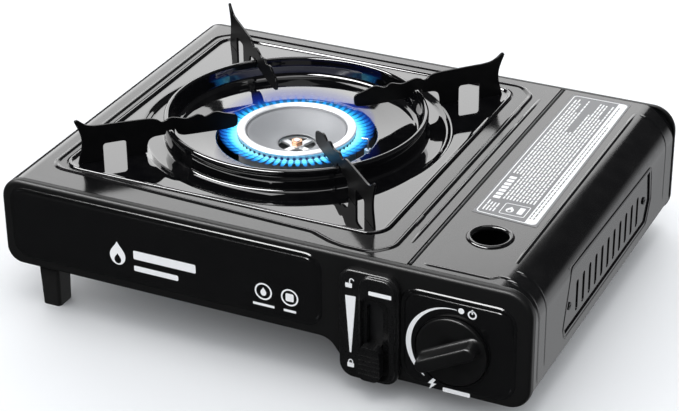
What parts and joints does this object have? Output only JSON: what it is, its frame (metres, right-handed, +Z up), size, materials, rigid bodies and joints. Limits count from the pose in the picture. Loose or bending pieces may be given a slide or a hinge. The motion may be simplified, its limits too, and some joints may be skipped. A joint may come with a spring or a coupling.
{
  "type": "portable cassette stove",
  "caption": "Flat portable gas stove: square drip tray with a ring burner and pan support arms, hinged lid over the fuel cartridge bay, gas knob and cartridge lock lever on the front.",
  "frame": {"origin": "centre of the whole part's bounding box, at the ground under the feet", "axes": "+X to the right side with the lid, +Y to the rear panel, +Z up; the front panel with the knob faces -Y"},
  "size_m": [0.343, 0.274, 0.1154],
  "materials": {
    "black_enamel_paint": "gloss black powder coat",
    "black_vitreous_enamel": "mirror gloss black enamel",
    "arm_enamel": "gloss black enamel",
    "inner_sheet": "satin black paint",
    "black_plastic": "semi-gloss moulded plastic",
    "foot_rubber": "matte",
    "screw_steel": "zinc plated",
    "black_screw": "black oxide",
    "plated_sheet": "galvanised sheet",
    "bright_aluminium": "satin",
    "cast_aluminium": "as cast",
    "brass_fitting": "machined",
    "copper_tube": "drawn copper",
    "white_ceramic": "fired",
    "wire_sleeve": "silicone sleeve",
    "igniter_case": "moulded",
    "seal_rubber": "matte",
    "label_foil": "satin printed foil"
  },
  "bodies": {
    "body": {"body_shell": "black_enamel_paint", "base_plate": "inner_sheet", "bay_pan": "inner_sheet", "partition": "inner_sheet", "front_panel": "black_enamel_paint", "rear_panel": "black_enamel_paint", "front_trim": "black_enamel_paint", "control_plate": "black_enamel_paint", "lock_bezel": "black_plastic", "foot_front_left": "foot_rubber", "foot_rear_left": "foot_rubber", "foot_front_right": "foot_rubber", "foot_rear_right": "foot_rubber", "base_screws": "screw_steel", "heat_plate": "bright_aluminium", "burner_bracket": "plated_sheet", "burner_cup": "cast_aluminium", "burner_port_ring": "cast_aluminium", "burner_dish": "bright_aluminium", "burner_cross": "bright_aluminium", "burner_stud": "screw_steel", "burner_nut": "brass_fitting", "mixer_tube": "cast_aluminium", "jet_elbow": "brass_fitting", "gas_jet": "brass_fitting", "gas_tube": "copper_tube", "electrode_insulator": "white_ceramic", "electrode_pin": "screw_steel", "electrode_bracket": "plated_sheet", "ignition_wire": "wire_sleeve", "piezo_igniter": "igniter_case", "regulator_body": "cast_aluminium", "regulator_cover": "cast_aluminium", "regulator_bracket": "plated_sheet", "cartridge_socket": "bright_aluminium", "socket_seal": "seal_rubber", "fork_guides": "screw_steel", "cartridge_rests": "inner_sheet", "hinge_leaf_fixed": "inner_sheet", "hinge_pin": "screw_steel"},
    "lid": {"lid_shell": "black_enamel_paint", "thumb_ring": "black_enamel_paint", "lid_label": "label_foil", "lid_hinge_leaf": "inner_sheet", "vent_screws": "black_screw"},
    "tray": {"drip_tray": "black_vitreous_enamel", "arm_front_left": "arm_enamel", "arm_front_right": "arm_enamel", "arm_rear_left": "arm_enamel", "arm_rear_right": "arm_enamel"},
    "knob": {"knob": "black_plastic", "valve_shaft": "brass_fitting", "ignition_cam": "plated_sheet"},
    "lever": {"lock_lever": "black_plastic", "lever_link": "inner_sheet"},
    "fork": {"lock_fork": "plated_sheet"}
  },
  "joints": [
    {"name": "lid_hinge", "type": "hinge", "parent": "body", "child": "lid", "pos_m": [0.0958, 0.007, 0.0861], "axis": [0, -1, 0], "range_deg": [0, 90]},
    {"name": "tray_lift", "type": "slide", "parent": "body", "child": "tray", "axis": [0, 0, 1], "range_m": [0, 0.12]},
    {"name": "knob_turn", "type": "hinge", "parent": "body", "child": "knob", "pos_m": [0.1252, -0.121, 0.0413], "axis": [0, 1, 0], "range_deg": [-38, 118]},
    {"name": "lock_slide", "type": "slide", "parent": "body", "child": "lever", "axis": [0, 0, 1], "range_m": [0, 0.024]},
    {"name": "fork_slide", "type": "slide", "parent": "body", "child": "fork", "axis": [0, 1, 0], "range_m": [0, 0.008]}
  ],
  "couplings": [
    {"joint": "fork_slide", "follows": "lock_slide", "ratio": 0.3333}
  ]
}
